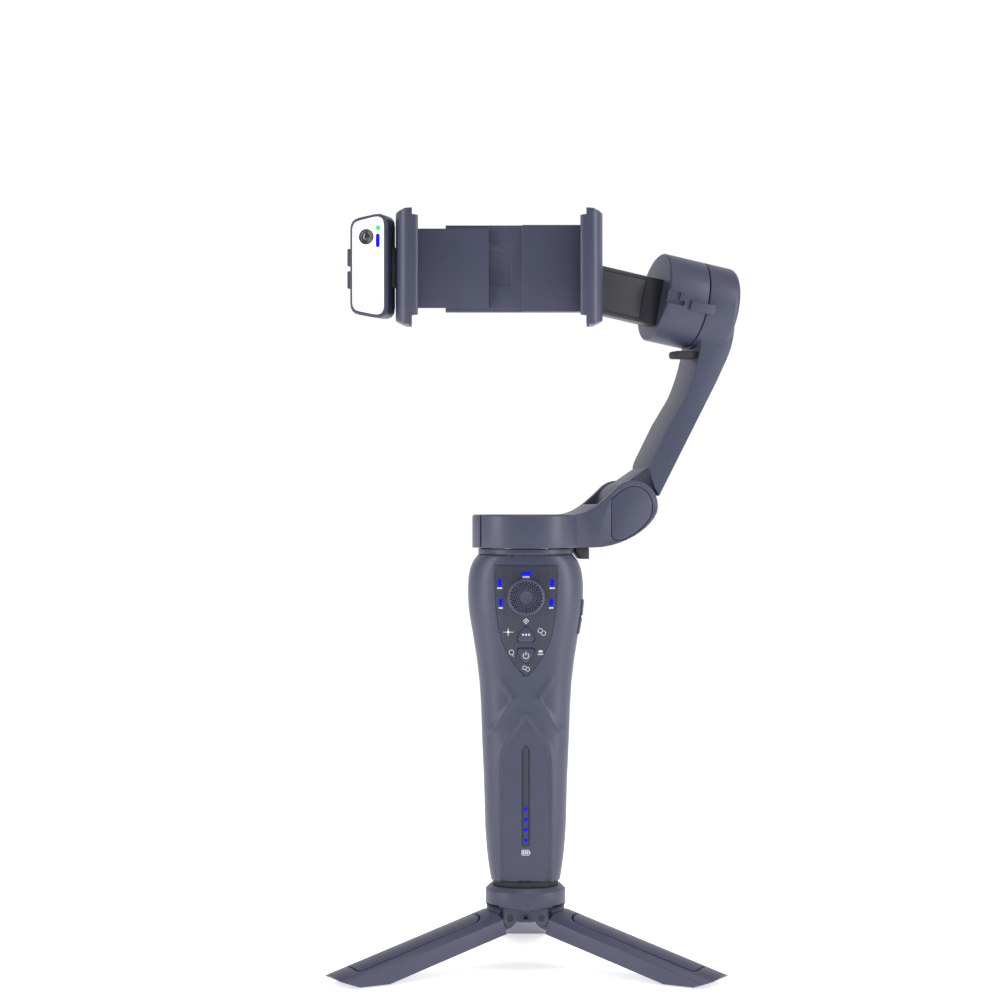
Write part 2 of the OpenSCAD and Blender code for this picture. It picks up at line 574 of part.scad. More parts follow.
grip_front();
grip_back();
control_panel();
mode_leds();
battery_strip();
battery_leds();
grip_screws();
battery();
main_board();
joystick_module();
charge_port();
grip_end_plug();
threaded_insert();
pan_motor_housing();
pan_stator();
pan_bearing();
tripod_hub();
hub_pad();
tripod_screw();
leg_pins();
joystick_cross();
joystick_cap();
mode_button();
power_button();
zoom_rocker();
pan_arm_frame();
pan_rotor();
pan_stop_tab();
front_hinge_cover();
rear_hinge_cover();
hinge_pin();
fold_arm_beam();
tilt_end_cap();
tilt_stator();
tilt_bearing();
tilt_stop_tab();
stop_bumper();
tilt_rotor_housing();
tilt_magnet_ring();
tilt_shaft();
roll_arm();
roll_arm_cover();
roll_back_cap();
roll_stator();
roll_bearing();
clamp_plate();
roll_rotor();
right_jaw();
right_pad();
left_jaw();
left_pad();
guide_rods();
light_bracket();
light_housing();
light_face();
light_button_upper();
light_button_lower();
left_leg();
right_leg();
rear_leg();
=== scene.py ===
"""Looks of the camera gimbal: materials, bevelled casings, the grip, prints, lights and camera."""

import json
import math

import bmesh
import bpy
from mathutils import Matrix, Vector
from mathutils.bvhtree import BVHTree


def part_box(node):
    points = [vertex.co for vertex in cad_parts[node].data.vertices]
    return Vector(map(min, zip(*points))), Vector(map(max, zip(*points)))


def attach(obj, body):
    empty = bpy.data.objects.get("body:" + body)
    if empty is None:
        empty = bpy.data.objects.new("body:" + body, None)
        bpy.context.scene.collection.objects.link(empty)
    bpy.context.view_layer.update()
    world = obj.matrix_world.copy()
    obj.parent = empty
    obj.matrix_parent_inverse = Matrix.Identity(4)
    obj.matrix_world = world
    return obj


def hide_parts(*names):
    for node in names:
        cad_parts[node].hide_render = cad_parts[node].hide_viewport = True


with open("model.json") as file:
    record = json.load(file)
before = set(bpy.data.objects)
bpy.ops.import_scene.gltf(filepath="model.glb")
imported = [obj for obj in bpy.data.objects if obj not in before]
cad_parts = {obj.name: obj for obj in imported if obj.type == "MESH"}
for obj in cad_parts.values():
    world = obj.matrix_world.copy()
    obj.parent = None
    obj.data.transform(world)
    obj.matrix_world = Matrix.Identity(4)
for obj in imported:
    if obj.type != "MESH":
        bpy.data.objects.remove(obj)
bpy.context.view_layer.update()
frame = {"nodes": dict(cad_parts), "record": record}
NODES = frame["nodes"]
MM = 0.001
SLOTS = {row["node"]: row["material_slot"] for row in frame["record"]["subparts"]}
BODY_OF = {n: b for b, names in frame["record"]["behaviour"]["bodies"].items() for n in names}
WELD = 2e-6             # vertices nearer than this, in metres, are one
SMOOTH_ANGLE = 32       # degrees; a sharper edge than this is shaded as an edge


# ---- camera and studio -------------------------------------------------------------------------

CAMERA_AT = Vector((-10.7, -988.0, 191.0)) * MM
FOCAL_IN_FRAMES = 2400 / 999
SENSOR = 36.0
ROOM_LIGHT = 0.36       # the world's strength all round
WALL_LIGHT = 1.02       # its strength towards +Y, behind the object
FLOOR_SIZE = 12
FLOOR_DROP = 0.0006     # the floor lies this far under the feet
FLOOR_GLOW = 0.62
LIGHT_AIM = (0, 0, 0.18)
LAMPS = [               # name, place, size and power
    ("left_strip", (-0.75, -0.35, 0.4), (0.2, 1.0), 5),
    ("right_strip", (0.8, -0.3, 0.4), (0.2, 1.0), 6),
    ("top_soft", (0.1, -0.2, 1.1), (0.5, 0.5), 2.5),
]


def make_camera():
    data = bpy.data.cameras.new("camera")
    data.sensor_width = SENSOR
    data.lens = SENSOR * FOCAL_IN_FRAMES
    data.clip_start, data.clip_end = 0.05, 20.0
    camera = bpy.data.objects.new("camera", data)
    camera.location = CAMERA_AT
    camera.rotation_euler = (math.radians(90), 0, 0)
    bpy.context.scene.collection.objects.link(camera)
    bpy.context.scene.camera = camera


def area_light(name, at, size, power):
    data = bpy.data.lights.new(name, "AREA")
    data.shape = "RECTANGLE"
    data.size, data.size_y = size
    data.energy = power
    light = bpy.data.objects.new(name, data)
    light.location = at
    light.rotation_euler = (Vector(LIGHT_AIM) - Vector(at)).to_track_quat("-Z", "Y").to_euler()
    bpy.context.scene.collection.objects.link(light)


def make_studio():
    world = bpy.data.worlds.new("studio")
    world.use_nodes = True
    tree = world.node_tree
    background = tree.nodes["Background"]
    background.inputs["Color"].default_value = (1, 1, 1, 1)
    direction = tree.nodes.new("ShaderNodeSeparateXYZ")
    where = tree.nodes.new("ShaderNodeTexCoord")
    tree.links.new(where.outputs["Generated"], direction.inputs["Vector"])
    white_wall = tree.nodes.new("ShaderNodeMapRange")
    white_wall.inputs["From Min"].default_value = 0.3
    white_wall.inputs["From Max"].default_value = 0.9
    white_wall.inputs["To Min"].default_value = ROOM_LIGHT
    white_wall.inputs["To Max"].default_value = WALL_LIGHT
    tree.links.new(direction.outputs["Y"], white_wall.inputs["Value"])
    tree.links.new(white_wall.outputs["Result"], background.inputs["Strength"])
    bpy.context.scene.world = world
    for lamp in LAMPS:
        area_light(*lamp)
    bpy.ops.mesh.primitive_plane_add(size=FLOOR_SIZE, location=(0, 0, -FLOOR_DROP))
    floor = bpy.context.object
    floor.name = "floor"
    material, shader, _ = new_material("floor", (0.93, 0.93, 0.93), 0.9)
    shader.inputs["Emission Color"].default_value = (1, 1, 1, 1)
    shader.inputs["Emission Strength"].default_value = FLOOR_GLOW
    floor.data.materials.append(material)
    bpy.context.scene.view_settings.view_transform = "Standard"


# ---- materials ---------------------------------------------------------------------------------

NOISE_LOW, NOISE_HIGH = 0.3, 0.7        # nearly all of a noise texture lies between these


def new_material(name, colour, roughness, metallic=0.0, coat=0.0):
    material = bpy.data.materials.new(name)
    material.use_nodes = True
    shader = material.node_tree.nodes["Principled BSDF"]
    shader.inputs["Base Color"].default_value = (*colour, 1)
    shader.inputs["Roughness"].default_value = roughness
    shader.inputs["Metallic"].default_value = metallic
    shader.inputs["Coat Weight"].default_value = coat
    return material, shader, material.node_tree


def noise(tree, scale, detail=2.0, stretch=None):
    """Noise in the object's own metres, so the grain stays the same size on every piece."""
    where = tree.nodes.new("ShaderNodeTexCoord")
    texture = tree.nodes.new("ShaderNodeTexNoise")
    texture.inputs["Scale"].default_value = scale
    texture.inputs["Detail"].default_value = detail
    source = where.outputs["Object"]
    if stretch:
        mapping = tree.nodes.new("ShaderNodeMapping")
        mapping.inputs["Scale"].default_value = stretch
        tree.links.new(source, mapping.inputs["Vector"])
        source = mapping.outputs["Vector"]
    tree.links.new(source, texture.inputs["Vector"])
    return texture.outputs["Fac"]


def remap(tree, value, low, high):
    node = tree.nodes.new("ShaderNodeMapRange")
    node.inputs["From Min"].default_value = NOISE_LOW
    node.inputs["From Max"].default_value = NOISE_HIGH
    node.inputs["To Min"].default_value = low
    node.inputs["To Max"].default_value = high
    tree.links.new(value, node.inputs["Value"])
    return node.outputs["Result"]


def tint(tree, shader, factor, dark, light):
    ramp = tree.nodes.new("ShaderNodeValToRGB")
    ends = ((NOISE_LOW, dark), (NOISE_HIGH, light))
    for stop, (place, colour) in zip(ramp.color_ramp.elements, ends):
        stop.position = place
        stop.color = (*colour, 1)
    tree.links.new(factor, ramp.inputs["Fac"])
    tree.links.new(ramp.outputs["Color"], shader.inputs["Base Color"])


def bump(tree, shader, height, strength, distance):
    node = tree.nodes.new("ShaderNodeBump")
    node.inputs["Strength"].default_value = strength
    node.inputs["Distance"].default_value = distance
    tree.links.new(height, node.inputs["Height"])
    tree.links.new(node.outputs["Normal"], shader.inputs["Normal"])


def moulded(name, colour, roughness, grain=3500, strength=0.12, spread=0.06, coat=0.0):
    """Moulded plastic: fine spark-eroded grain, slow change of tone and of gloss."""
    material, shader, tree = new_material(name, colour, roughness, coat=coat)
    cloud = noise(tree, 35, 3)
    dark = tuple(c * (1 - spread) for c in colour)
    light = tuple(c * (1 + spread) for c in colour)
    tint(tree, shader, cloud, dark, light)
    speckle = noise(tree, grain, 2)
    gloss = remap(tree, speckle, roughness - 0.05, roughness + 0.06)
    tree.links.new(gloss, shader.inputs["Roughness"])
    bump(tree, shader, speckle, strength, 0.00008)
    return material


def metal(name, colour, roughness, stretch=(1, 1, 30)):
    """Turned or ground metal with fine streaks across it."""
    material, shader, tree = new_material(name, colour, roughness, metallic=1.0)
    streaks = noise(tree, 600, 3, stretch)
    tint(tree, shader, streaks, tuple(c * 0.85 for c in colour), colour)
    gloss = remap(tree, streaks, roughness - 0.06, roughness + 0.1)
    tree.links.new(gloss, shader.inputs["Roughness"])
    bump(tree, shader, streaks, 0.08, 0.00003)
    return material


def lit(name, colour, strength, base):
    """A lit lens: its glow is a little uneven, as behind moulded plastic."""
    material, shader, tree = new_material(name, base, 0.5)
    shader.inputs["Specular IOR Level"].default_value = 0.1
    glow = noise(tree, 120, 1)
    tint(tree, shader, glow, tuple(c * 0.92 for c in base), base)
    shader.inputs["Emission Color"].default_value = (*colour, 1)
    shader.inputs["Emission Strength"].default_value = strength
    return material


def glass():
    """Coated glass over a dark lens: black with a faint violet tint."""
    material, shader, tree = new_material("lens_glass", (0.02, 0.02, 0.035), 0.04, coat=1.0)
    tint(tree, shader, noise(tree, 300, 1), (0.012, 0.012, 0.03), (0.035, 0.02, 0.05))
    return material


def make_materials():
    return {
        "body_plastic": moulded("body_plastic", (0.044, 0.048, 0.088), 0.42),
        "panel_plastic": moulded("panel_plastic", (0.028, 0.031, 0.054), 0.4, strength=0.08),
        "dark_plastic": moulded("dark_plastic", (0.02, 0.02, 0.028), 0.5),
        "arm_plastic": moulded("arm_plastic", (0.011, 0.012, 0.019), 0.42, strength=0.06),
        "rubber": moulded("rubber", (0.018, 0.018, 0.02), 0.75, grain=1800, strength=0.3),
        "steel": metal("steel", (0.62, 0.62, 0.65), 0.28),
        "black_steel": metal("black_steel", (0.05, 0.05, 0.055), 0.42),
        "brass": metal("brass", (0.75, 0.55, 0.27), 0.3),
        "winding": metal("winding", (0.62, 0.27, 0.12), 0.35, (1, 1, 8)),
        "circuit_board": moulded("circuit_board", (0.02, 0.16, 0.07), 0.35, grain=900, coat=0.4),
        "cell_wrap": moulded("cell_wrap", (0.05, 0.2, 0.16), 0.3, grain=400, coat=0.3),
        "blue_light": lit("blue_light", (0.006, 0.008, 1.0), 0.8, (0.0, 0.0, 0.35)),
        "white_light": lit("white_light", (0.9, 0.99, 1.0), 0.6, (0.6, 0.64, 0.66)),
        "green_light": lit("green_light", (0.02, 0.75, 0.18), 0.8, (0.02, 0.3, 0.08)),
        "print": moulded("print", (0.62, 0.63, 0.68), 0.6, strength=0.02, spread=0.03),
        "lens_black": moulded("lens_black", (0.01, 0.01, 0.012), 0.2, strength=0.02, coat=0.5),
        "lens_glass": glass(),
    }


# ---- pieces ------------------------------------------------------------------------------------

def finish_piece(piece, body, material, node=None):
    piece.data.materials.clear()
    piece.data.materials.append(MATERIALS[material])
    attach(piece, body)
    if node:
        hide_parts(node)
    return piece


def mesh_object(name, bm, smooth_angle=SMOOTH_ANGLE):
    mesh = bpy.data.meshes.new(name)
    bm.normal_update()
    bm.to_mesh(mesh)
    bm.free()
    piece = bpy.data.objects.new(name, mesh)
    bpy.context.scene.collection.objects.link(piece)
    shade(piece, smooth_angle)
    return piece


def join_loops(bm, loops):
    """Walls from each ring of vertices to the next, and a flat end on the first and the last."""
    for outer, inner in zip(loops, loops[1:]):
        count = len(outer)
        for k in range(count):
            j = (k + 1) % count
            bm.faces.new((outer[k], outer[j], inner[j], inner[k]))
    bm.faces.new(loops[-1])
    bm.faces.new(list(reversed(loops[0])))


def shade(piece, angle):
    """Smooth shading, broken where two faces meet more sharply than the angle."""
    mesh = piece.data
    mesh.shade_smooth()
    mesh.set_sharp_from_angle(angle=math.radians(angle))


def applied(piece):
    """Replaces the piece's mesh with the result of its modifiers."""
    bpy.context.view_layer.update()
    graph = bpy.context.evaluated_depsgraph_get()
    result = bpy.data.meshes.new_from_object(piece.evaluated_get(graph))
    piece.modifiers.clear()
    piece.data = result
    return piece


def clean_copy(node):
    """The CAD node's mesh, welded, with flat areas merged into single faces."""
    bm = bmesh.new()
    bm.from_mesh(NODES[node].data)
    bmesh.ops.remove_doubles(bm, verts=bm.verts, dist=WELD)
    bmesh.ops.dissolve_limit(bm, angle_limit=math.radians(0.6), verts=bm.verts, edges=bm.edges)
    return bm


def bevelled(node, width, angle=34, segments=3):
    """A copy of a CAD casing with its edges rounded, which stands for that node."""
    piece = mesh_object(node + "_skin", clean_copy(node))
    bevel = piece.modifiers.new("bevel", "BEVEL")
    bevel.width = width * MM
    bevel.segments = segments
    bevel.limit_method = "ANGLE"
    bevel.angle_limit = math.radians(angle)
    bevel.use_clamp_overlap = True
    bevel.miter_outer = "MITER_ARC"
    applied(piece)
    shade(piece, SMOOTH_ANGLE)
    return finish_piece(piece, BODY_OF[node], SLOTS[node], node)


# edge radius of each casing, in mm
BEVELS = {
    "pan_arm_frame": 0.5, "fold_arm_beam": 0.5, "tilt_rotor_housing": 0.35, "roll_arm": 0.6,
    "roll_arm_cover": 0.15, "front_hinge_cover": 0.25, "rear_hinge_cover": 0.25, "tilt_end_cap": 0.3,
    "roll_back_cap": 0.5, "tilt_stop_tab": 0.3, "stop_bumper": 0.5, "pan_stop_tab": 0.35,
    "pan_motor_housing": 0.25, "clamp_plate": 0.5, "right_jaw": 0.5, "left_jaw": 0.5, "right_pad": 0.2,
    "left_pad": 0.2, "light_bracket": 0.2, "light_housing": 0.3,
    "light_button_upper": 0.4, "light_button_lower": 0.4, "mode_button": 0.35, "power_button": 0.35,
    "left_leg": 0.45, "right_leg": 0.45, "rear_leg": 0.45, "tripod_hub": 0.3, "hub_pad": 0.3,
    "charge_port": 0.15,
}


# ---- the moulded grip --------------------------------------------------------------------------
# Each level is height, half-width, depth to the front and depth to the back, in mm. They repeat
# the sections of grip_half in part.scad, and change with them.

GRIP_LEVELS = [
    (35.3, 14.2, 12.8, 13.2), (38, 14.7, 13.3, 13.8), (42, 15.3, 13.8, 14.4), (47, 15.9, 14.3, 15),
    (56, 16.6, 14.8, 15.6), (76, 17.1, 15.2, 16.2), (91, 17.8, 15.6, 17), (106, 18.3, 16, 17.8),
    (116, 18.9, 16.4, 18.2), (126, 20.1, 17.2, 18.6), (136, 21.7, 18.2, 19.4), (144, 23.1, 19, 20.4),
    (151, 23.7, 19.4, 21), (158, 23.6, 19.4, 21), (163, 22.8, 19.2, 20.6), (166, 21.4, 19, 19.8),
    (168.5, 19.4, 18.6, 18.9),
]
GRIP_POWER = 2.6        # each section is a superellipse of this power
PARTING = 0.05          # half the gap between the two shells
SMOOTH_REACH = 3.0
SMOOTH_END = 9.0        # the smoothing fades out over this length at each end
GRIP_GRID = (0.8, 0.9)  # the cuts across X and along Z
OUTER_SHARE = 0.88      # a point this far out in the section, or farther, is on the outer surface
ARCH = [(0, 104), (2, 102), (9.4, 90.5), (10.5, 86), (10.7, 60), (10.3, 36)]
CHEVRON = [(5.2, 110), (6.8, 107.2), (14.4, 96.6)]
SHOULDER = [(9.8, 117), (6.6, 112.6), (4.2, 110.6)]


def linear_level(z):
    for low, high in zip(GRIP_LEVELS, GRIP_LEVELS[1:]):
        if z <= high[0]:
            t = max(0.0, (z - low[0]) / (high[0] - low[0]))
            return [a + (b - a) * t for a, b in zip(low, high)]
    return list(GRIP_LEVELS[-1])


def smooth_level(z):
    """The same sections, with each level averaged over 3 mm above and below."""
    weights = [1, 2, 3, 4, 3, 2, 1]
    samples = [linear_level(z + SMOOTH_REACH * k / 3) for k in range(-3, 4)]
    ends = min(z - GRIP_LEVELS[0][0], GRIP_LEVELS[-1][0] - z)
    share = min(1.0, max(0.0, ends / SMOOTH_END))
    exact = linear_level(z)
    total = sum(weights)
    mean = [sum(w * row[i] for w, row in zip(weights, samples)) / total for i in range(4)]
    return [e + (m - e) * share for e, m in zip(exact, mean)]


def distance_to(line, x, z):
    best = 1e9
    for (ax, az), (bx, bz) in zip(line, line[1:]):
        length = (bx - ax) ** 2 + (bz - az) ** 2
        t = max(0.0, min(1.0, ((x - ax) * (bx - ax) + (z - az) * (bz - az)) / length))
        best = min(best, math.hypot(x - ax - t * (bx - ax), z - az - t * (bz - az)))
    return best


def arch_half_width(z):
    for (ax, az), (bx, bz) in zip(ARCH, ARCH[1:]):
        if z >= bz:
            return ax + (bx - ax) * (az - z) / (az - bz)
    return ARCH[-1][0]


def hump(distance, width):
    return max(0.0, 1 - (distance / width) ** 2) ** 2


def smooth_step(value):
    t = min(1.0, max(0.0, value))
    return t * t * (3 - 2 * t)


def front_relief(x, z):
    """Height in mm of the moulded arch and chevrons above the plain front of the grip."""
    side = abs(x)
    height = 0.3 * hump(distance_to(ARCH, side, z), 1.5)
    height += 0.55 * hump(distance_to(CHEVRON, side, z), 1.5)
    height += 0.3 * hump(distance_to(SHOULDER, side, z), 2.2)
    if z < ARCH[0][1]:
        height -= 0.75 * smooth_step((arch_half_width(z) - side) / 1.5)
    return height


RIBS_LOW, RIBS_HIGH, RIB_PITCH = 62, 128, 6
RIB_HALF_WIDTH = 11.5
RIB_HEIGHT = 0.28


def back_relief(x, z):
    """Low finger ribs across the back."""
    if not RIBS_LOW < z < RIBS_HIGH:
        return 0.0
    fade = smooth_step((z - RIBS_LOW) / RIB_PITCH) * smooth_step((RIBS_HIGH - z) / RIB_PITCH)
    fade *= smooth_step((RIB_HALF_WIDTH - abs(x)) / 2.5)
    return RIB_HEIGHT * fade * max(0.0, math.sin((z - RIBS_LOW) * math.tau / RIB_PITCH)) ** 2


def sliced(node, x_step, z_step):
    """A welded copy of a CAD node, cut into a fine grid along X and Z; sizes in mm."""
    bm = bmesh.new()
    bm.from_mesh(NODES[node].data)
    bmesh.ops.remove_doubles(bm, verts=bm.verts, dist=WELD)
    low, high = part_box(node)
    for axis, step in ((0, x_step), (2, z_step)):
        normal = Vector((axis == 0, 0, axis == 2))
        count = int((high[axis] - low[axis]) / MM / step)
        for i in range(1, count + 1):
            at = Vector((0, 0, 0))
            at[axis] = low[axis] + i * step * MM
            everything = bm.verts[:] + bm.edges[:] + bm.faces[:]
            bmesh.ops.bisect_plane(bm, geom=everything, plane_co=at, plane_no=normal, dist=1e-7)
    return bm


def section_share(x, off, wide, deep):
    """1 on the section's outline, less inside it."""
    return (abs(x) / wide) ** GRIP_POWER + (max(off, 0) / deep) ** GRIP_POWER


def grip_shell(node, side, relief):
    """One grip shell: smooth sections in place of the flat bands, with its moulded relief."""
    bm = sliced(node, *GRIP_GRID)
    for vert in bm.verts:
        x, y, z = vert.co / MM
        off = side * y - PARTING
        _, wide, front, back = linear_level(z)
        deep = front if side < 0 else back
        if off < -0.01:
            continue
        if section_share(x, off, wide, deep) < OUTER_SHARE:
            continue
        _, wide, front, back = smooth_level(z)
        deep = front if side < 0 else back
        grow = section_share(x, off, wide, deep) ** (-1 / GRIP_POWER)
        facing = smooth_step((off / deep - 0.25) / 0.35)
        lift = relief(x, z) * facing
        depth = PARTING + max(off, 0) * grow + lift
        vert.co = Vector((x * grow, side * depth, z)) * MM
    piece = mesh_object(node + "_skin", bm, 40)
    return finish_piece(piece, BODY_OF[node], SLOTS[node], node)


# ---- the battery gauge, let into the grip -------------------------------------------------------

STRIP_HALF = 1.68
STRIP_LOW, STRIP_POINT, STRIP_TOP = 50.4, 89.2, 91.7    # the point starts at the middle one
STRIP_BACK = -13.0
STRIP_ROWS = 60
GAUGE_SINK = 0.2
GAUGE_HEIGHTS = (52.7, 57, 61.1, 65.4)
GAUGE_PROFILE = ((0.82, -0.6), (0.82, 0.05), (0.66, 0.18), (0.4, 0.25))     # radius, rise
GAUGE_SEGMENTS = 32


def grip_depth(x, z):
    """How far the moulded front surface stands in front of the parting plane, in mm."""
    _, wide, front, _ = smooth_level(z)
    plain = front * (1 - (abs(x) / wide) ** GRIP_POWER) ** (1 / GRIP_POWER)
    return PARTING + plain + front_relief(x, z)


def gauge_strip():
    """A sunk strip with a pointed top and a groove along each edge."""
    bm = bmesh.new()
    columns = [-1, -0.86, -0.8, -0.66, -0.6, 0, 0.6, 0.66, 0.8, 0.86, 1]
    sinks = [0.2, 0.2, 0.5, 0.5, 0.25, 0.2, 0.25, 0.5, 0.5, 0.2, 0.2]
    front, back = [], []
    for i in range(STRIP_ROWS + 1):
        z = STRIP_LOW + (STRIP_TOP - STRIP_LOW) * i / STRIP_ROWS
        half = STRIP_HALF * min(1.0, (STRIP_TOP - z) / (STRIP_TOP - STRIP_POINT) + 0.02)
        line = [(c * half, -(grip_depth(0, z) - sink), z) for c, sink in zip(columns, sinks)]
        front.append([bm.verts.new(Vector(p) * MM) for p in line])
        back.append([bm.verts.new(Vector((p[0], STRIP_BACK, p[2])) * MM) for p in line])
    last = len(columns) - 1
    for i in range(STRIP_ROWS):
        for k in range(last):
            bm.faces.new((front[i][k], front[i][k + 1], front[i + 1][k + 1], front[i + 1][k]))
            bm.faces.new((back[i][k], back[i + 1][k], back[i + 1][k + 1], back[i][k + 1]))
        bm.faces.new((front[i][0], front[i + 1][0], back[i + 1][0], back[i][0]))
        bm.faces.new((front[i][last], back[i][last], back[i + 1][last], front[i + 1][last]))
    for i, flip in ((0, False), (STRIP_ROWS, True)):
        loop = front[i] + list(reversed(back[i]))
        bm.faces.new(list(reversed(loop)) if flip else loop)
    bmesh.ops.recalc_face_normals(bm, faces=bm.faces)
    strip = mesh_object("battery_strip_skin", bm)
    finish_piece(strip, "base", SLOTS["battery_strip"], "battery_strip")


def gauge_dots():
    """Four lit dots that stand a little proud of the strip."""
    bm = bmesh.new()
    turns = [math.tau * k / GAUGE_SEGMENTS for k in range(GAUGE_SEGMENTS)]
    for z in GAUGE_HEIGHTS:
        surface = grip_depth(0, z) - GAUGE_SINK
        loops = []
        for radius, rise in GAUGE_PROFILE:
            ring = [(radius * math.cos(t), -(surface + rise), z + radius * math.sin(t)) for t in turns]
            loops.append([bm.verts.new(Vector(place) * MM) for place in ring])
        join_loops(bm, loops)
    bmesh.ops.recalc_face_normals(bm, faces=bm.faces)
    dots = mesh_object("battery_leds_skin", bm)
    finish_piece(dots, "base", "blue_light", "battery_leds")


# ---- the joystick cap --------------------------------------------------------------------------

CAP_SIDE = [            # radius and depth in front of Y = 0, in mm, from the stem up to the rim
    (2.0, 14), (2.0, 21.7), (6.6, 21.7), (7.3, 22.2), (7.6, 23.2), (7.5, 24.0), (7.2, 24.6),
    (6.95, 24.85), (6.7, 24.95),
]
CROWN_RADIUS = 6.6
CROWN_STEP = 0.1
CROWN_RINGS = 60
CAP_SEGMENTS = 288


def joystick_top():
    """A round cap with a raised rim and rings of small dimples round a smooth middle."""
    low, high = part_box("joystick_cap")
    centre_x = (low.x + high.x) / 2 / MM
    centre_z = (low.z + high.z) / 2 / MM
    crown = [CROWN_RADIUS - CROWN_STEP * i for i in range(CROWN_RINGS)]
    rings = [(r, d, False) for r, d in CAP_SIDE] + [(r, crown_height(r), True) for r in crown]
    bm = bmesh.new()
    loops = []
    for radius, depth, dimpled in rings:
        loop = []
        for k in range(CAP_SEGMENTS):
            angle = math.tau * k / CAP_SEGMENTS
            sink = dimple(radius, angle) if dimpled else 0.0
            place = (centre_x + radius * math.cos(angle), -(depth - sink),
                     centre_z + radius * math.sin(angle))
            loop.append(bm.verts.new(Vector(place) * MM))
        loops.append(loop)
    join_loops(bm, loops)
    bmesh.ops.recalc_face_normals(bm, faces=bm.faces)
    piece = mesh_object("joystick_cap_skin", bm, 50)
    return finish_piece(piece, BODY_OF["joystick_cap"], "body_plastic",
                        "joystick_cap")


def crown_height(radius):
    return 24.75 + 0.25 * smooth_step(radius / 5)


DIMPLE_RINGS = [2.9, 3.7, 4.5, 5.3, 6.05]
DIMPLES = 30            # in each ring; every second ring is turned by half a dimple
DIMPLE_DEPTH = 0.75


def dimple(radius, angle):
    """How far the crown is sunk at a place, in mm."""
    sink = 0.0
    for k, ring in enumerate(DIMPLE_RINGS):
        size = 0.17 + 0.055 * k
        turn = (angle * DIMPLES / math.tau + 0.5 * (k % 2)) % 1.0 - 0.5
        across = turn * math.tau / DIMPLES * radius
        away = math.hypot(across, (radius - ring) * 0.8)
        sink = max(sink, DIMPLE_DEPTH * hump(away, size * 1.45))
    return sink


# ---- printed marks, laid on the surface they are printed on ------------------------------------

def stroke(points, width):
    """A line of the given width through the points, as four-cornered patches."""
    patches = []
    for (ax, az), (bx, bz) in zip(points, points[1:]):
        length = math.hypot(bx - ax, bz - az)
        nx, nz = -(bz - az) / length * width / 2, (bx - ax) / length * width / 2
        patches.append([(ax + nx, az + nz), (bx + nx, bz + nz),
                        (bx - nx, bz - nz), (ax - nx, az - nz)])
    return patches


def arc_points(x, z, radius, start, end, count=20):
    turns = [math.radians(start + (end - start) * i / count) for i in range(count + 1)]
    return [(x + radius * math.cos(t), z + radius * math.sin(t)) for t in turns]


def dot(x, z, radius):
    return [arc_points(x, z, radius, 0, 342, 19)]


def bar(x, z, width, height):
    return [[(x - width / 2, z - height / 2), (x + width / 2, z - height / 2),
             (x + width / 2, z + height / 2), (x - width / 2, z + height / 2)]]


def circle(x, z, radius, width=0.22):
    return stroke(arc_points(x, z, radius, 0, 360), width)


def printed(name, patches, node, lift=0.05):
    """Patches in X-Z, in mm, dropped along +Y onto the node's surface and raised a little from it."""
    surface = bmesh.new()
    surface.from_mesh(SURFACE[node].data)
    tree = BVHTree.FromBMesh(surface)
    surface.free()
    bm = bmesh.new()
    for patch in patches:
        top, under = [], []
        for x, z in patch:
            hit = tree.ray_cast(Vector((x * MM, -0.2, z * MM)), Vector((0, 1, 0)))[0]
            top.append(bm.verts.new((x * MM, hit.y - lift * MM, z * MM)))
            under.append(bm.verts.new((x * MM, hit.y + lift * MM, z * MM)))
        count = len(patch)
        bm.faces.new(top)
        bm.faces.new(list(reversed(under)))
        for i in range(count):
            j = (i + 1) % count
            bm.faces.new((top[i], under[i], under[j], top[j]))
    bmesh.ops.recalc_face_normals(bm, faces=bm.faces)
    piece = mesh_object(name, bm)
    return finish_piece(piece, BODY_OF[node], "print")


def add_prints():
    """Generic marks on the panel, the two buttons and the grip; places are X and Z in mm."""
    panel = stroke([(0, 143.0), (1.1, 141.9), (0, 140.8), (-1.1, 141.9), (0, 143.0)], 0.22)
    panel += dot(0, 141.9, 0.35)
    panel += stroke([(-9.2, 137.4), (-5.1, 137.4)], 0.22)
    panel += stroke([(-7.2, 139.0), (-7.2, 135.8)], 0.25)
    panel += bar(-7.2, 137.4, 0.9, 0.9)
    panel += circle(5.8, 138.0, 0.9) + circle(7.1, 137.0, 0.9)
    panel += circle(-5.9, 129.2, 0.95) + stroke([(-5.4, 128.3), (-5.0, 127.4)], 0.3)
    panel += bar(5.9, 129.6, 1.6, 0.8) + bar(5.9, 128.4, 2.2, 0.4)
    panel += circle(-0.6, 122.9, 0.75) + circle(0.7, 122.3, 0.75)
    panel += bar(0, 159.7, 2.8, 0.7)
    for side in (-1, 1):
        panel += bar(side * 10.6, 155.2, 2.1, 0.6) + bar(side * 10.2, 147.2, 1.7, 0.6)
    printed("panel_marks", panel, "control_panel")
    dots = dot(-1.2, 136.4, 0.42) + dot(0, 136.4, 0.42) + dot(1.2, 136.4, 0.42)
    printed("mode_dots", dots, "mode_button")
    power = stroke(arc_points(0, 127.9, 1.15, 125, 415), 0.3) + stroke([(0, 129.5), (0, 128.1)], 0.3)
    printed("power_mark", power, "power_button")
    cell = stroke([(-1.6, 46.6), (1.3, 46.6), (1.3, 48.6), (-1.6, 48.6), (-1.6, 46.6)], 0.25)
    cell += bar(1.65, 47.6, 0.35, 0.9)
    for x in (-1.05, -0.25, 0.55):
        cell += bar(x, 47.6, 0.5, 1.3)
    printed("battery_mark", cell, "grip_front")


# ---- the fill light's face ---------------------------------------------------------------------

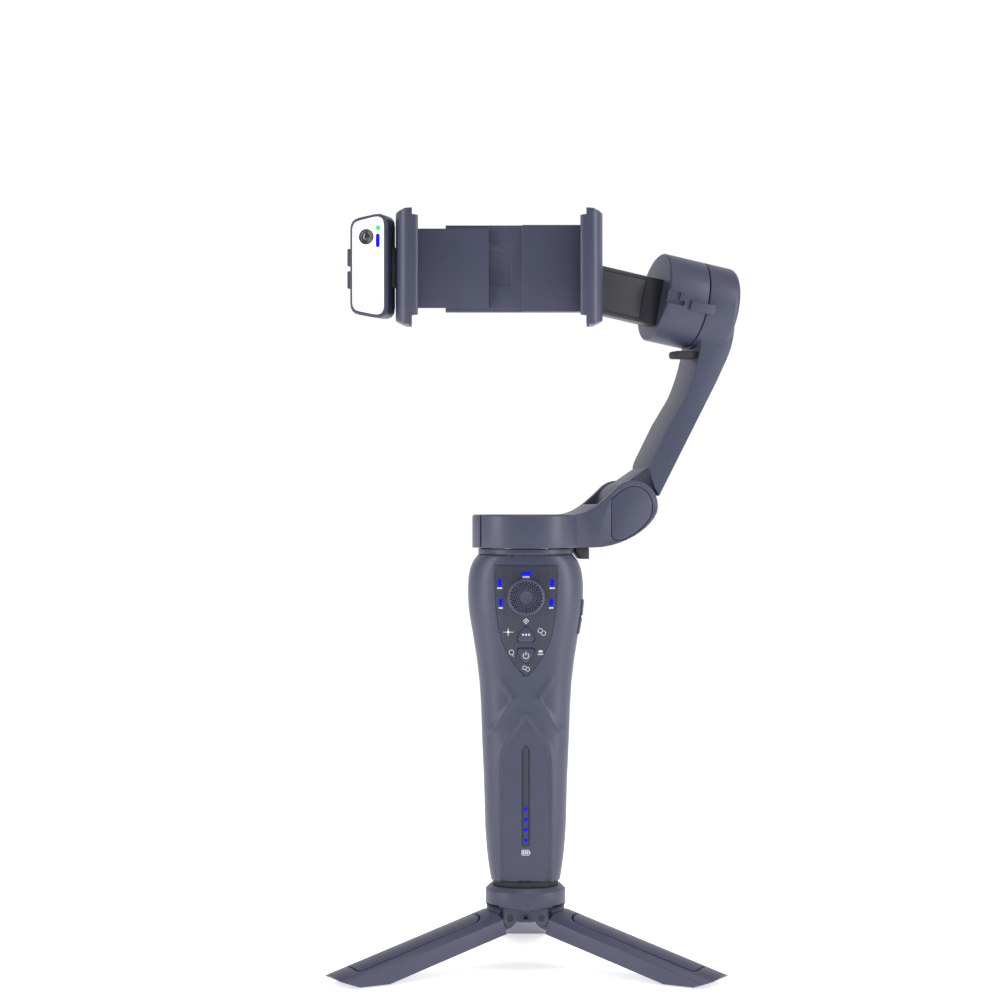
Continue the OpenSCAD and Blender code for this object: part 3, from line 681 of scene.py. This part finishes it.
LIGHT_YAW = math.radians(-17)
LIGHT_ORIGIN = Vector((-63.3, -27.0, 284.6))
LENS_AT, READY_LED_AT, LEVEL_BAR_AT = (-0.7, 11.6), (4.3, 15), (4.2, 10)    # X and Z on the face
LEVEL_BAR_STRETCH = 3.9


def light_place(x, y, z):
    """A point in the light's own yawed frame, in mm, as a place in metres."""
    turned = Vector((x * math.cos(LIGHT_YAW) - y * math.sin(LIGHT_YAW),
                     x * math.sin(LIGHT_YAW) + y * math.cos(LIGHT_YAW), z))
    return (LIGHT_ORIGIN + turned) * MM


def turned_piece(name, centre, profile, material, stretch=0.0, segments=64):
    """A piece turned about the light's own Y axis; stretch pulls it into a slot shape along Z."""
    bm = bmesh.new()
    loops = []
    for radius, y in profile:
        loop = []
        for k in range(segments):
            angle = math.tau * (k + 0.5) / segments
            z = radius * math.sin(angle)
            z += stretch / 2 if z > 0 else -stretch / 2
            place = light_place(centre[0] + radius * math.cos(angle), y, centre[1] + z)
            loop.append(bm.verts.new(place))
        loops.append(loop)
    join_loops(bm, loops)
    bmesh.ops.recalc_face_normals(bm, faces=bm.faces)
    return finish_piece(mesh_object(name, bm), BODY_OF["light_face"], material)


def add_light_details():
    """The lens, the ready lamp and the level bar; each profile is radius and Y, in mm."""
    barrel = [(2.6, 0.3), (3.1, 0.3), (3.1, -0.45), (2.9, -0.62), (2.6, -0.62), (2.3, -0.45),
              (2.1, -0.5), (1.9, -0.38), (1.3, -0.38)]
    turned_piece("light_lens_barrel", LENS_AT, barrel, "lens_black")
    front_glass = [(1.5, 0.2), (1.62, -0.3), (1.4, -0.5), (1.0, -0.63), (0.5, -0.72), (0.15, -0.74)]
    turned_piece("light_lens_glass", LENS_AT, front_glass, "lens_glass")
    lamp = [(1.0, 0.2), (1.0, -0.4), (0.8, -0.55), (0.3, -0.62)]
    turned_piece("light_ready_led", READY_LED_AT, lamp, "green_light")
    level = [(0.8, 0.2), (0.8, -0.4), (0.6, -0.55), (0.2, -0.58)]
    turned_piece("light_level_bar", LEVEL_BAR_AT, level, "blue_light",
                 stretch=LEVEL_BAR_STRETCH)


def paint_cad_nodes():
    for name, node in NODES.items():
        node.data.materials.clear()
        node.data.materials.append(MATERIALS[SLOTS[name]])
        shade(node, SMOOTH_ANGLE)


MATERIALS = make_materials()
make_camera()
make_studio()
paint_cad_nodes()
SURFACE = dict(NODES)
for node_name, bevel_width in BEVELS.items():
    SURFACE[node_name] = bevelled(node_name, bevel_width)
SURFACE["grip_front"] = grip_shell("grip_front", -1, front_relief)
grip_shell("grip_back", 1, back_relief)
joystick_top()
gauge_strip()
gauge_dots()
add_prints()
add_light_details()
